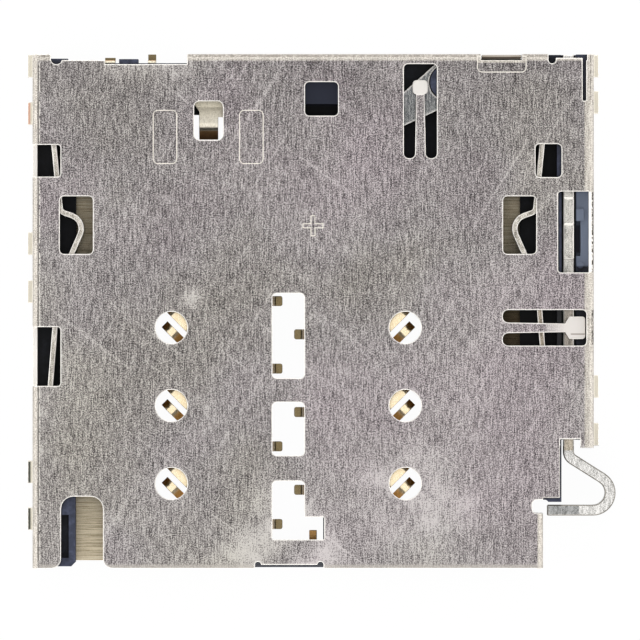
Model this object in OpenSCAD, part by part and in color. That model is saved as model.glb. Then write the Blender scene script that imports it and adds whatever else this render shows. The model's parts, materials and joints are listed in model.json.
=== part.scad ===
// Tray-type nano card socket with a pin-operated ejector, in millimetres.
// +Z is up from the circuit board, -Y is the tray mouth, X = 0 is the tray's centre line.

/* [Tray channel] */
// Clear width of the tray channel
tray_w = 14.5; // [14.2:0.1:16]
// Clear height from the floor web to the cover
tray_gap = 0.95; // [0.9:0.05:1.3]

/* [Cover] */
// Depth of the cover, rear fold to mouth
shell_d = 16.77; // [16.6:0.05:17.6]
// Channel side to the outer face of the left wall
left_rail = 1.4; // [1.36:0.02:1.8]
// Channel side to the outer face of the right wall
right_rail = 2.39; // [2.34:0.02:2.8]
// Channel side to the outer face of the short front wall
front_rail = 0.735; // [0.66:0.01:0.8]
// Sheet thickness of the cover
sheet_t = 0.15; // [0.12:0.01:0.18]
// Inside radius of the cover's folds
bend_r = 0.05; // [0.03:0.01:0.08]
// Corner radius of the punched windows
window_r = 0.14; // [0.06:0.01:0.2]
// Depth of the half-sheared pads
press_depth = 0.05; // [0.02:0.01:0.07]
// Reach of the solder feet beyond the walls
foot_reach = 0.19; // [0.1:0.01:0.4]
// Length of a solder foot along the wall
foot_len = 0.75; // [0.5:0.05:0.9]

/* [Cover windows] */
// Round window over each contact, radius
contact_window_r = 0.52; // [0.4:0.02:0.6]
// Latch windows, width and length
latch_window = [1.08, 1.88]; // [0.8:0.02:2.2]
// Rear window on the left wall, reach from the fold and length
left_rear_window = [0.715, 1.04]; // [0.5:0.02:1.4]
// Front window on the left wall, reach from the fold and length
left_front_window = [0.715, 1.92]; // [0.5:0.02:2.4]
// Small window over the right latch's end, width and length
right_small_window = [0.85, 1.08]; // [0.6:0.02:1.2]
// Window over the rod on the right wall, width and length
rod_window = [1.0, 2.64]; // [0.9:0.02:2.8]
// Window over the rear bar, width and length
bar_window = [1.08, 1.1]; // [0.8:0.02:1.2]
// Window over the card-detect spring, width and length
detect_window = [0.94, 1.26]; // [0.8:0.02:1.4]
// Width of the three windows over the solder tails
tail_window_w = 1.04; // [0.9:0.02:1.2]

/* [Floor] */
// Thickness of the base plate
plate_t = 0.15; // [0.12:0.01:0.2]
// Height of the moulded web above the base plate
web_h = 0.15; // [0.12:0.01:0.2]
// Base plate's bare strip beside the left rail
bare_left = 1.05; // [0.95:0.05:1.4]
// Base plate's bare strip beside the right rail
bare_right = 0.65; // [0.6:0.05:0.9]

/* [Contacts] */
// Column spacing of the contacts
column_pitch = 7.62; // [7.5:0.02:7.7]
// Row spacing of the contacts
row_pitch = 2.54; // [2.5:0.01:2.56]
// Sheet thickness of the contacts
contact_t = 0.08; // [0.06:0.01:0.1]
// Width of one finger
finger_w = 0.275; // [0.2:0.01:0.3]
// Gap between the two fingers of a contact
finger_gap = 0.19; // [0.12:0.01:0.25]
// Height of the crowns above the board
crown_z = 0.75; // [0.6:0.05:1]
// Width of the solder tails
tail_w = 0.33; // [0.25:0.01:0.4]

/* [Ejector] */
// Thickness of the lever
lever_t = 0.25; // [0.2:0.01:0.3]
// Radius of the lever's pivot post
post_r = 0.556; // [0.4:0.01:0.57]
// Running clearance of the pivot, on the radius
post_clear = 0.03; // [0.01:0.01:0.05]
// Thickness of the rod's strip
rod_t = 0.35; // [0.3:0.01:0.38]
// Height of the rod's strip
rod_h = 0.75; // [0.7:0.01:0.78]
// Centre-line radius of the rod's loop
loop_r = 0.57; // [0.5:0.01:0.6]
// Travel of the rod
rod_travel = 1.3; // [1:0.05:1.3]
// Side clearance of moving pieces
slide_clear = 0.04; // [0.03:0.01:0.06]

/* [Springs] */
// Thickness of the latch leaf
latch_t = 0.17; // [0.1:0.01:0.2]
// Height of the latch leaf
latch_h = 0.7; // [0.5:0.05:0.75]
// Reach of the latch bump into the channel
bump_reach = 0.25; // [0.15:0.01:0.3]
// Width of the card-detect tongue
detect_w = 0.62; // [0.5:0.02:0.66]

/* [Hidden] */
$fn = 48;
arc_steps = 5;
eps = 0.5;

// Levels above the board
z_web = plate_t + web_h;
z_under = z_web + tray_gap;
z_top = z_under + sheet_t;

// Planes of the cover and the channel
channel_l = -tray_w / 2;
channel_r = tray_w / 2;
wall_l = channel_l - left_rail;
wall_r = channel_r + right_rail;
wall_f = channel_r + front_rail;
y_rear = shell_d / 2;
y_front = -shell_d / 2;
bend_out = bend_r + sheet_t;
flat_l = wall_l + bend_out;
flat_r = wall_r - bend_out;
flat_f = wall_f - bend_out;
flat_rear = y_rear - bend_out;
inner_l = wall_l + sheet_t;
inner_r = wall_r - sheet_t;
inner_f = wall_f - sheet_t;
inner_rear = y_rear - sheet_t;

// Front right step, where the rod comes out beside the cover
step_x = channel_r + 1.285;
step_y = y_front + 2.305;
rod_exit_y = y_front + 4.225;
right_wall_end = rod_exit_y - 0.29;
relief_len = 0.44;

// Rear edge: the bare left stretch, the folds and the open right corner
tab_x = wall_l + 0.6;
tail_gap_l = channel_l + 0.963;
fold_l = channel_l + 3.634;
clip_l = channel_r - 1.4;
clip_r = channel_r + 0.18;
fold_r = channel_r + 0.91;
tail_edge = y_rear - 0.336;

// Contact field
field_x = -0.314;
row_y = y_front + 7.855;
finger_angle = 45;
finger_far = -0.216;
finger_lag = 0.22;
crown_len = [0.25, 0.76];
tip_len = [0.18, 0.12];
tip_drop = 0.28;
finger_root = 1.1;
pad_end = 1.5;
strip_z = plate_t - 0.03;
finger_n = [-0.225, -0.225 + finger_w + finger_gap];
tail_left_dy = -1.34;
tail_right_dy = -0.22;
slot_l = field_x - 0.64;
slot_r = field_x + 1.135;
slot_rear = row_y + 1.24;
slot_front = row_y - 2 * row_pitch - 1.9;
tail_bend_l = field_x - 0.485;
tail_bend_r = field_x + 0.475;
tail_foot = 0.29;

// Ejector
lever_z = z_web + 0.3;
pocket_z = lever_z - 0.02;
pivot = [channel_r - 2.387, y_rear - 0.914];
eye_r = post_r + post_clear + 0.115;
rod_x = channel_r + 1.571;
rod_z = z_web;
rod_top = rod_z + rod_h;
arm_len = rod_x - pivot[0];
arm_tip_r = 0.2;
arm_neck_r = 0.14;
arm_rest = 4.7;
push_arm = [-2.094, -1.371];
push_tip_r = 0.33;
channel_half = rod_t / 2 + slide_clear + 0.02;
pocket_l = pivot[0] - norm(push_arm) - push_tip_r - 0.06;
pocket_front = pivot[1] - arm_len * sin(15.5) - arm_tip_r - 0.02;
loop_c = [rod_x + 0.788, step_y - 0.23 - rod_t / 2 + loop_r];
loop_slope = 32.3;
bar_end = wall_f + 0.14;
rear_bar_front = y_rear - 1.63;

// Latch springs, drawn for the left side with the channel wall at zero
bump_y = row_y + 3.24;
latch_z = z_web + 0.12;
latch_mouth = [bump_y - 4.2, bump_y + 1.2];
latch_rear = bump_y + 3.05;
latch_front = bump_y - 5.25;
latch_inner = 0.23;

// Card-detect switch
detect_x = channel_l + 4.335;
detect_front = y_rear - 2.75;
detect_z = z_web + 0.38;
detect_open = [0.62, rear_bar_front - 0.34 - (detect_front - 0.25)];
detect_tails = [channel_l + 1.117, channel_l + 2.485];
detect_tail_w = [0.345, 0.261];

// Plane geometry of bent strips

function unit(v) = v / norm(v);
function left_of(v) = [-v[1], v[0]];
function cross2(a, b) = a[0] * b[1] - a[1] * b[0];
function turned(v, a) = [v[0] * cos(a) - v[1] * sin(a), v[0] * sin(a) + v[1] * cos(a)];

// Points of an arc about c from angle a to angle b
function arc(c, r, a, b, steps = arc_steps) =
    [for (k = [0:steps]) let (t = a + (b - a) * k / steps) c + r * [cos(t), sin(t)]];

// The corner at b of the path a-b-c, rounded to radius r
function corner(a, b, c, r) =
    let (
        p = unit(a - b),
        q = unit(c - b),
        half = acos(p * q) / 2,
        centre = b + unit(p + q) * r / sin(half),
        from = b + p * r / tan(half) - centre,
        to = b + q * r / tan(half) - centre,
        sweep = sign(cross2(from, to)) * (180 - 2 * half)
    )
    [for (k = [0:arc_steps]) centre + turned(from, sweep * k / arc_steps)];

// A path with its inner corners rounded, one radius each
function rounded(path, radii) =
    let (last = len(path) - 1)
    [
        path[0],
        for (i = [1:last - 1]) each corner(path[i - 1], path[i], path[i + 1], radii[i - 1]),
        path[last]
    ];

// One side of a strip of constant thickness that follows a path
function strip_side(path, off) =
    let (last = len(path) - 1)
    [for (i = [0:last])
        let (
            into = unit(path[max(i, 1)] - path[max(i, 1) - 1]),
            away = unit(path[min(i + 1, last)] - path[min(i + 1, last) - 1]),
            n = unit(left_of(into) + left_of(away))
        )
        path[i] + n * off / (n * left_of(into))];

function strip(path, t) =
    let (a = strip_side(path, t / 2), b = strip_side(path, -t / 2), last = len(b) - 1)
    concat(a, [for (i = [0:last]) b[last - i]]);

// Corner points of a box with round corners
function round_box(x0, y0, x1, y1, r) =
    concat(
        arc([x1 - r, y1 - r], r, 0, 90), arc([x0 + r, y1 - r], r, 90, 180),
        arc([x0 + r, y0 + r], r, 180, 270), arc([x1 - r, y0 + r], r, 270, 360)
    );

// Plan shapes and prisms

module window(centre, size, r = window_r)
    polygon(round_box(
        centre[0] - size[0] / 2, centre[1] - size[1] / 2,
        centre[0] + size[0] / 2, centre[1] + size[1] / 2, r
    ));

module box2(x0, y0, x1, y1)
    translate([x0, y0])
        square([x1 - x0, y1 - y0]);

module prism(z0, z1)
    translate([0, 0, z0])
        linear_extrude(z1 - z0)
            children();

// A profile drawn in the Y-Z plane, spread along X
module along_x(x0, x1)
    translate([x0, 0, 0])
        rotate([90, 0, 90])
            linear_extrude(x1 - x0)
                children();

// A profile drawn in the X-Z plane, spread along Y
module along_y(y0, y1)
    translate([0, y1, 0])
        rotate([90, 0, 0])
            linear_extrude(y1 - y0)
                children();

// Fold and wall in section: the plate's edge at u = 0, the wall's outer face at u = bend_out
fold_lap = 0.02;

module fold_section()
    polygon(concat(
        [[-fold_lap, z_top]],
        arc([0, z_top - bend_out], bend_out, 90, 0),
        [[bend_out, 0], [bend_r, 0]],
        arc([0, z_top - bend_out], bend_r, 0, 90),
        [[-fold_lap, z_under]]
    ));

// Solder foot in section, outward from the wall
module foot_section()
    polygon(concat(
        [[bend_out - fold_lap, 0], [bend_out + foot_reach, 0], [bend_out + foot_reach, sheet_t]],
        arc([bend_out + bend_r, sheet_t + bend_r], bend_r, 270, 180),
        [[bend_out - fold_lap, sheet_t + bend_r]]
    ));

// Cover

contact_x = [field_x - column_pitch / 2, field_x + column_pitch / 2];
contact_y = [for (i = [0:2]) row_y - i * row_pitch];
tongue1_x = pivot[0] - 0.876;
tongue1_root = y_rear - 3.4;
tongue1_end = y_rear - 0.328;
tongue1_head = [y_rear - 1.305, y_rear - 0.849];
tongue_w = [0.342, 0.285];
tongue1_head_w = 0.5;
tongue2_y = row_y - 0.007;
rod_window_y = bump_y - 0.126;
tongue2_root = channel_r - 0.582;
tongue2_len = [1.163, flat_r - 0.045 - tongue2_root];
tongue2_bend = channel_r + 0.8;
tongue2_head = [channel_r + 1.46, channel_r + 2.11];
tongue2_head_w = 0.733;
tongue_drop1 = z_under - (lever_z + lever_t + 0.03);
tongue_drop2 = z_under - (rod_top + 0.03);
tail_window_x = field_x;
tail_window_y = [
    [row_y - 1.647, row_y + 1.114],
    [row_y - 4.168, row_y - 2.436],
    [row_y - 6.904, row_y - 5]
];
window3_foot = 0.73;
window3_reach = 0.65;

module cover_plan() {
    difference() {
        union() {
            box2(flat_l, y_front, flat_r, flat_rear);
            box2(flat_l, flat_rear - eps, tab_x, y_rear);
            box2(fold_r + 0.24, flat_rear - eps, flat_r - 0.05, y_rear - 0.13);
        }
        cover_edges();
        cover_windows();
    }
}

module cover_edges() {
    // Half-round relief beside the rear left tab, and the edge set back for the tails
    polygon(round_box(tab_x, flat_rear - 0.135, tab_x + 0.36, y_rear + eps, 0.17));
    box2(tail_gap_l, tail_edge, fold_l, y_rear);
    // Slit that frees the rear end of the right wall, and the relief beside the last fold
    polygon(round_box(flat_r - 0.17, y_rear - 1.53, flat_r - 0.05, y_rear + eps, 0.05));
    polygon(round_box(fold_r, flat_rear - 0.11, fold_r + 0.24, y_rear + eps, 0.11));
    // Step for the rod
    box2(step_x, y_front - eps, flat_r - 0.24, rod_exit_y);
    box2(step_x, y_front - eps, flat_r + eps, right_wall_end);
    box2(flat_f, y_front - eps, wall_r, step_y - relief_len);
    box2(wall_f, y_front - eps, wall_r, step_y);
    step_relief();
    // Notch at the left of the mouth, with flared corners
    notch_plan();
    // Lip at the middle of the mouth, between two reliefs
    box2(lip_l, y_front - eps, lip_r, y_front + lip_depth);
    for (x = [lip_l, lip_r - 2 * lip_relief])
        polygon(round_box(
            x, y_front - eps, x + 2 * lip_relief, y_front + lip_depth + lip_relief, lip_relief
        ));
}

// Round-ended relief that frees the top of the short front wall
module step_relief()
    polygon(round_box(flat_f - 0.15, step_y - relief_len - 0.06, wall_f + 0.2, step_y - 0.06, 0.15));

lip_l = field_x - 1.09;
lip_r = field_x + 1.145;
lip_depth = 0.13;
lip_relief = 0.1;
notch_l = channel_l - 0.47;
notch_r = channel_l + 0.898;
notch_depth = 2.352;
notch_corner = 0.4;
notch_flare = 0.33;

module notch_plan() {
    polygon(concat(
        arc([notch_l + notch_corner, y_front + notch_depth - notch_corner], notch_corner, 180, 90),
        arc([notch_r - notch_corner, y_front + notch_depth - notch_corner], notch_corner, 90, 0),
        arc([notch_r + notch_flare, y_front + notch_flare], notch_flare, 180, 270),
        [[notch_r + notch_flare, y_front - eps], [notch_l - notch_flare, y_front - eps]],
        arc([notch_l - notch_flare, y_front + notch_flare], notch_flare, 270, 360)
    ));
}

module cover_windows() {
    for (x = contact_x, y = contact_y)
        translate([x, y])
            circle(contact_window_r);
    for (x = [channel_l + 0.03, channel_r - 0.03])
        window([x, bump_y + 0.1], latch_window);
    window([channel_r + 0.91, bump_y + 2.2], right_small_window);
    window([flat_r + 0.03 - rod_window[0] / 2, rod_window_y], rod_window, 0.1);
    window([channel_l + 8.017, y_rear - 0.914 - bar_window[1] / 2], bar_window);
    window([detect_x, y_rear - 1.542 - detect_window[1] / 2], detect_window, 0.18);
    for (y = tail_window_y)
        window([tail_window_x, (y[0] + y[1]) / 2], [tail_window_w, y[1] - y[0]], 0.13);
    polygon(round_box(
        tail_window_x - tail_window_w / 2, tail_window_y[2][0],
        tail_window_x + tail_window_w / 2 + window3_reach, tail_window_y[2][0] + window3_foot, 0.05
    ));
    tongue1_window();
    tongue2_window();
    left_wall_windows();
}

module left_wall_windows()
    for (w = [[bump_y + 2.197, left_rear_window], [bump_y - 4.181, left_front_window]])
        polygon(round_box(
            wall_l - eps, w[0] - w[1][1] / 2,
            flat_l + w[1][0], w[0] + w[1][1] / 2, 0.1
        ));

// Half width of a tongue at distance t from its root
function tongue_half(t) = (tongue_w[0] + (tongue_w[1] - tongue_w[0]) * t / tongue_taper) / 2;

// Round-ended slot beside a tongue's root; the root lies on the X axis and the tongue runs along +Y
module tongue_slot(w, r)
    polygon(concat(
        [[w / 2, tongue_land]],
        arc([w / 2 - r, r], r, 360, 270),
        arc([tongue_half(0) + r, r], r, 270, 180),
        [[tongue_half(tongue_land), tongue_land]]
    ));

// Window around a tongue: both slots, open past the land at the root
module tongue_window(w, length) {
    tongue_slot(w, slot_r_share * (w / 2 - tongue_half(0)));
    mirror([1, 0])
        tongue_slot(w, slot_r_share * (w / 2 - tongue_half(0)));
    polygon(concat(
        [[-w / 2, tongue_land], [w / 2, tongue_land]],
        arc([w / 2 - window_r, length - window_r], window_r, 0, 90),
        arc([window_r - w / 2, length - window_r], window_r, 90, 180)
    ));
}

module tongue1_window()
    translate([tongue1_x, tongue1_root])
        tongue_window(tongue_window_w, tongue1_end - tongue1_root);

// The side tongue's window, the same turned towards the right wall
module tongue2_window()
    translate([tongue2_root, tongue2_y])
        rotate(-90)
            tongue_window(tongue2_len[0], tongue2_len[1]);

slot_r_share = 0.45;
tongue_taper = 1.9;
tongue_window_w = 1.08;
tongue_land = 0.6;

// A tongue's side view: level from the root, bent down by drop before its head
function tongue_side(root, bend, head, end, drop) =
    rounded(
        [[root, z_under + sheet_t / 2], [bend, z_under + sheet_t / 2],
         [head, z_under + sheet_t / 2 - drop], [end, z_under + sheet_t / 2 - drop]],
        [0.25, 0.2]
    );

module tongue1()
    intersection() {
        along_x(tongue1_x - tongue1_head_w, tongue1_x + tongue1_head_w)
            polygon(strip(
                tongue_side(
                    tongue1_root + tongue_land, tongue1_root + 1.1,
                    tongue1_head[0] + 0.05, tongue1_head[1], tongue_drop1
                ), sheet_t
            ));
        prism(0, z_top) {
            polygon([
                [tongue1_x - tongue_half(0), tongue1_root], [tongue1_x + tongue_half(0), tongue1_root],
                [tongue1_x + tongue_half(tongue_taper), tongue1_root + tongue_taper],
                [tongue1_x + tongue_half(tongue_taper), tongue1_head[0] + 0.1],
                [tongue1_x - tongue_half(tongue_taper), tongue1_head[0] + 0.1],
                [tongue1_x - tongue_half(tongue_taper), tongue1_root + tongue_taper]
            ]);
            window(
                [tongue1_x, (tongue1_head[0] + tongue1_head[1]) / 2],
                [tongue1_head_w, tongue1_head[1] - tongue1_head[0]], 0.12
            );
        }
    }

module tongue2()
    intersection() {
        along_y(tongue2_y - tongue2_head_w, tongue2_y + tongue2_head_w)
            polygon(strip(
                tongue_side(
                    tongue2_root + tongue_land, tongue2_bend, tongue2_head[0], tongue2_head[1], tongue_drop2
                ), sheet_t
            ));
        prism(0, z_top) {
            polygon([
                [tongue2_root, tongue2_y - tongue_half(0)],
                [tongue2_root + tongue_taper, tongue2_y - tongue_half(tongue_taper)],
                [tongue2_head[0] + 0.1, tongue2_y - tongue_half(tongue_taper)],
                [tongue2_head[0] + 0.1, tongue2_y + tongue_half(tongue_taper)],
                [tongue2_root + tongue_taper, tongue2_y + tongue_half(tongue_taper)],
                [tongue2_root, tongue2_y + tongue_half(0)]
            ]);
            polygon(concat(
                [[tongue2_head[0], tongue2_y - tongue_half(tongue_taper)]],
                [[tongue2_head[0] + 0.13, tongue2_y - tongue2_head_w / 2]],
                arc([tongue2_head[1], tongue2_y - tongue2_head_w / 2] + head_r * [-1, 1], head_r, 270, 360),
                arc([tongue2_head[1], tongue2_y + tongue2_head_w / 2] - head_r * [1, 1], head_r, 0, 90),
                [[tongue2_head[0] + 0.13, tongue2_y + tongue2_head_w / 2]],
                [[tongue2_head[0], tongue2_y + tongue_half(tongue_taper)]]
            ));
        }
    }

head_r = 0.1;

// Half-sheared pads: two rounded bars, a small cross and the clip at the rear edge
pad_size = [0.767, 1.736];
pad_y = y_rear - 2.704;
pad_x = [detect_x - 1.417, detect_x + 1.396];
cross_c = [0.489, bump_y + 0.077];
cross_arm = [0.65, 0.13];
clip_depth = 0.39;

module pressed_plan(grow = 0) {
    for (x = pad_x)
        window([x, pad_y], pad_size - [2, 2] * grow, 0.15 - grow);
    for (s = [cross_arm, [cross_arm[1], cross_arm[0]]])
        translate(cross_c)
            square(s - [2, 2] * grow, center = true);
    polygon(round_box(
        clip_l + grow, flat_rear - clip_depth + grow, clip_r - grow, flat_rear + eps, 0.15
    ));
}

module walls() {
    // Left wall
    mirror([1, 0, 0])
        translate([-flat_l, 0, 0])
            along_y(y_front, y_rear)
                fold_section();
    // Right wall, and the short wall at the front right
    translate([flat_r, 0, 0])
        along_y(right_wall_end, y_rear)
            fold_section();
    translate([flat_f, 0, 0])
        along_y(y_front, step_y - relief_len - 0.06)
            fold_section();
    // Rear folds, left and right of the clip
    for (f = [[fold_l, clip_l + 0.11], [clip_r - 0.13, fold_r]])
        translate([0, flat_rear, 0])
            along_x(f[0], f[1])
                fold_section();
}

// Solder feet: their centres along each wall
left_feet = [
    y_rear - 0.37, y_rear - 1.92, bump_y - 0.495, bump_y - 2.065, y_front + 3.14, y_front + 1.61
];
right_feet = [y_rear - 0.37, y_rear - 1.56, right_wall_end + 1.995, right_wall_end + 0.435];

module feet() {
    for (y = left_feet)
        mirror([1, 0, 0])
            translate([-flat_l, 0, 0])
                along_y(y - foot_len / 2, y + foot_len / 2)
                    foot_section();
    for (y = right_feet)
        translate([flat_r, 0, 0])
            along_y(y - foot_len / 2, y + foot_len / 2)
                foot_section();
}

// What the windows take out of the walls: notches down to sill_z
sill_z = z_under - 0.35;

module wall_notches() {
    prism(sill_z, z_top + eps)
        left_wall_windows();
    prism(z_under - sheet_t, z_top + eps)
        box2(
            flat_r - 0.1, rod_window_y - rod_window[1] / 2,
            flat_r + 0.03, rod_window_y + rod_window[1] / 2
        );
}

module shell()
    color("silver") {
        difference() {
            union() {
                prism(z_under, z_top)
                    cover_plan();
                walls();
            }
            wall_notches();
            prism(z_top - press_depth, z_top + eps)
                pressed_plan();
        }
        prism(z_under - press_depth, z_top - press_depth)
            intersection() {
                pressed_plan(0.02);
                cover_plan();
            }
        feet();
        tongue1();
        tongue2();
    }

// Base plate

plate_front = y_front + 0.255;
plate_rear = tail_edge - 0.02;
open_l = channel_l + bare_left;
open_r = channel_r - bare_right;
open_front = y_front + 0.83;
open_rear = rear_bar_front + 0.15;
ground_x = field_x + 0.803;
ground_w = 0.25;
ground_tip = y_front + 1.24;

module plate_plan()
    difference() {
        union() {
            box2(inner_l, plate_front, channel_r, plate_rear);
            box2(channel_r - eps, rod_exit_y, inner_r, plate_rear);
            box2(channel_r - eps, step_y, step_x, plate_rear);
            box2(channel_r - eps, plate_front, inner_f, plate_rear);
        }
        difference() {
            web_outline();
            box2(ground_x - ground_w / 2, open_front - eps, ground_x + ground_w / 2, ground_tip);
        }
        step_relief();
    }

module web_outline()
    polygon(round_box(open_l, open_front, open_r, open_rear, 0.3));

// Clip: a tab of the plate, turned up behind the housing into the cover's gap
lock_gap = 0.03;
lock_z = z_top - press_depth;

module plate_lock() {
    prism(0, plate_t)
        box2(lock_l, plate_rear - eps, lock_r, inner_rear + lock_t);
    prism(0, lock_z)
        box2(lock_l, inner_rear, lock_r, inner_rear + lock_t);
}

lock_l = clip_l + 0.11 + lock_gap;
lock_r = clip_r - 0.13 - lock_gap;
lock_t = sheet_t - 0.03;

module base_plate()
    color("tan") {
        prism(0, plate_t)
            plate_plan();
        plate_lock();
    }

// Housing

rail_front = y_front + 0.075;
right_rail_end = step_y - 0.13;
sill_l = field_x - 1.3;
sill_r = field_x + 1.35;
corner_lug_rear = y_rear - 0.015;
corner_lug_l = fold_r + 0.02;
corner_lug_r = flat_r - 0.02;
rear_piece = [channel_l + 1.419, channel_l + 2.045];

// Window of one contact in the floor web, turned along its fingers
module finger_opening()
    box2(-0.75, -0.62, finger_root, 0.8);

module web_openings() {
    for (side = [0, 1], y = contact_y)
        contact_place(side, y)
            finger_opening();
    box2(slot_l, slot_front, slot_r, slot_rear);
    detect_opening();
}

module detect_opening()
    box2(
        detect_x - detect_open[0], detect_front - 0.25,
        detect_x + detect_open[0], rear_bar_front - 0.34
    );

// Contact frame: u runs from tip to root, n to the second finger, mirrored in the right column
module contact_place(side, y)
    translate([contact_x[side], y])
        mirror([side, 0])
            rotate(-finger_angle)
                children();

module rails_plan() {
    box2(inner_l, rail_front, channel_l, inner_rear - 0.15);
    box2(channel_r, rail_front, inner_f, right_rail_end + eps);
    box2(channel_r, right_rail_end, step_x + 0.07, inner_rear - 0.15);
    box2(channel_r, rod_exit_y - 0.03, inner_r, inner_rear - 0.15);
    box2(inner_l, rear_bar_front, inner_r, inner_rear - 0.15);
    box2(fold_l + 0.02, rear_bar_front, corner_lug_l + 0.1, inner_rear);
    box2(tab_x - 0.3, rear_bar_front, tab_x + 0.55, inner_rear);
    box2(corner_lug_l, rear_bar_front, corner_lug_r, corner_lug_rear);
    box2(rear_piece[0], rear_bar_front, rear_piece[1], y_rear - 0.165);
}

// Room for a latch spring, drawn for the left side
module latch_room()
    union() {
        box2(inner_l, latch_front - 0.03, channel_l - latch_inner, latch_rear + 0.15);
        box2(inner_l, latch_mouth[0], channel_l + eps, latch_mouth[1]);
    }

module rod_channel() {
    box2(rod_x - channel_half, right_rail_end - eps, rod_x + channel_half, y_rear + eps);
    box2(step_x + 0.07, right_rail_end - 1, wall_r, rod_exit_y - 0.03);
}

module lever_pocket()
    box2(pocket_l, pocket_front, rod_x + channel_half, y_rear);

// Ledges of the outer rail beside the rod, seen through the window in the right wall
outer_l = rod_x + channel_half;
ledge_y = [bump_y + 0.246, bump_y + 0.624];
slot_y = [bump_y - 0.907, bump_y + 0.233];
ledge_z = z_under - 0.12;
outer_z = z_under - 0.2;
boss_c = [outer_l + 0.15, bump_y - 1.217];
boss_r = 0.104;

module outer_rail_cuts() {
    prism(outer_z, z_top)
        box2(outer_l - 0.1, -6, inner_r, bump_y + 1.3);
    prism(z_web + 0.1, z_top)
        box2(outer_l - 0.1, slot_y[0], outer_l + 0.15, slot_y[1]);
}

module outer_rail_ledges() {
    prism(outer_z - 0.1, ledge_z)
        box2(outer_l, ledge_y[0], outer_l + 0.26, ledge_y[1]);
    translate([boss_c[0], boss_c[1], outer_z - 0.1])
        cylinder(h = ledge_z - outer_z + 0.1, r = boss_r);
}

// Pocket and chamfer at the front end of the left rail
rail_pocket = [[channel_l - 0.47, y_front + 0.35], [channel_l - 0.22, y_front + 1.75]];

module rail_end_cuts() {
    prism(z_under - 0.3, z_top)
        box2(rail_pocket[0][0] - 0.1, rail_pocket[0][1], rail_pocket[1][0], rail_pocket[1][1]);
    prism(plate_t - eps, z_top)
        polygon([
            [channel_l - 0.14, rail_front], [channel_l + 0.1, rail_front + 0.24],
            [channel_l + 0.1, rail_front - 0.1], [channel_l - 0.14, rail_front - 0.1]
        ]);
}

module housing()
    color([0.2, 0.22, 0.28]) {
        difference() {
            union() {
                prism(plate_t, z_under)
                    rails_plan();
                prism(0, z_web)
                    difference() {
                        web_outline();
                        box2(ground_x - ground_w / 2, open_front - eps, ground_x + ground_w / 2, ground_tip);
                    }
                prism(plate_t, z_web) {
                    box2(sill_l, y_front + 0.03, sill_r, open_front + 0.1);
                    box2(open_l, open_rear - 1, channel_r, open_rear);
                }
            }
            prism(-eps, z_web + eps)
                web_openings();
            prism(latch_z - 0.06, z_top)
                latch_room();
            mirror([1, 0, 0])
                prism(latch_z - 0.06, z_top)
                    difference() {
                        latch_room();
                        box2(wall_l - 2, latch_front - 1, -right_latch_wall, latch_rear + 1);
                    }
            prism(rod_z - 0.02, z_top)
                rod_channel();
            prism(plate_t - eps, z_top)
                box2(step_x + 0.07, right_rail_end - 1, wall_r, rod_exit_y - 0.03);
            prism(pocket_z, z_top)
                lever_pocket();
            outer_rail_cuts();
            rail_end_cuts();
            prism(plate_t - eps, z_top)
                step_relief();
            prism(detect_z, z_top)
                box2(
                    detect_x - detect_open[0], rear_bar_front - eps,
                    detect_x + detect_open[0], rear_bar_front + 0.2
                );
            contact_leads();
            detect_strip();
            detect_lead();
        }
        outer_rail_ledges();
        translate([pivot[0], pivot[1], pocket_z - 0.1])
            cylinder(h = z_under - pocket_z + 0.1, r = post_r);
    }

// Inner face of the wall between the right latch and the rod
right_latch_wall = channel_r + 1.19;

// Contacts

// Flat lead of one contact, from the fingers' root to the centre slot
module contact_lead_plan(side, y) {
    contact_place(side, y)
        box2(finger_root - 0.01, finger_n[0], pad_end, finger_n[1] + finger_w);
    polygon(lead_points(side, y));
}

function finger_point(side, y, u, n) =
    let (p = turned([u, n], -finger_angle))
    [contact_x[side] + (side == 0 ? 1 : -1) * p[0], y + p[1]];

function tail_y(side, y) = y + (side == 0 ? tail_left_dy : tail_right_dy);

function lead_points(side, y) =
    let (edge = side == 0 ? slot_l : slot_r, t = tail_y(side, y))
    [
        finger_point(side, y, pad_end - 0.05, finger_n[0]),
        [edge, t - tail_w / 2],
        [edge, t + tail_w / 2],
        finger_point(side, y, pad_end - 0.05, finger_n[1] + finger_w)
    ];

module contact_leads()
    prism(strip_z, strip_z + contact_t)
        for (side = [0, 1], y = contact_y)
            contact_lead_plan(side, y);

// Side view of a finger: root, rise, crown and turned-down tip
function finger_side(far, crown, tip) =
    let (z = strip_z + contact_t / 2, top = crown_z - contact_t / 2)
    rounded(
        [[finger_root + 0.02, z], [finger_root - 0.12, z], [far + tip + crown, top],
         [far + tip, top], [far, top - tip_drop]],
        [0.15, 0.12, 0.08]
    );

module finger(n, far, crown, tip)
    translate([0, n + finger_w, 0])
        rotate([90, 0, 0])
            linear_extrude(finger_w)
                polygon(strip(finger_side(far, crown, tip), contact_t));

// Tail in side view: level, bent down to the board, then the foot
function tail_side(edge, bend, s) =
    let (z = strip_z + contact_t / 2, low = contact_t / 2)
    rounded(
        [[edge, z], [bend - s * 0.05, z], [bend + s * 0.05, low], [bend + s * tail_foot, low]],
        [0.7 * contact_t, 0.7 * contact_t]
    );

tail_r = 0.07;

module tail(edge, bend, s, y)
    intersection() {
        along_y(y - tail_w, y + tail_w)
            polygon(strip(tail_side(edge, bend, s), contact_t));
        prism(-eps, z_top)
            polygon(round_box(
                min(edge - s * tail_w, bend + s * tail_foot), y - tail_w / 2,
                max(edge - s * tail_w, bend + s * tail_foot), y + tail_w / 2, tail_r
            ));
    }

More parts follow.
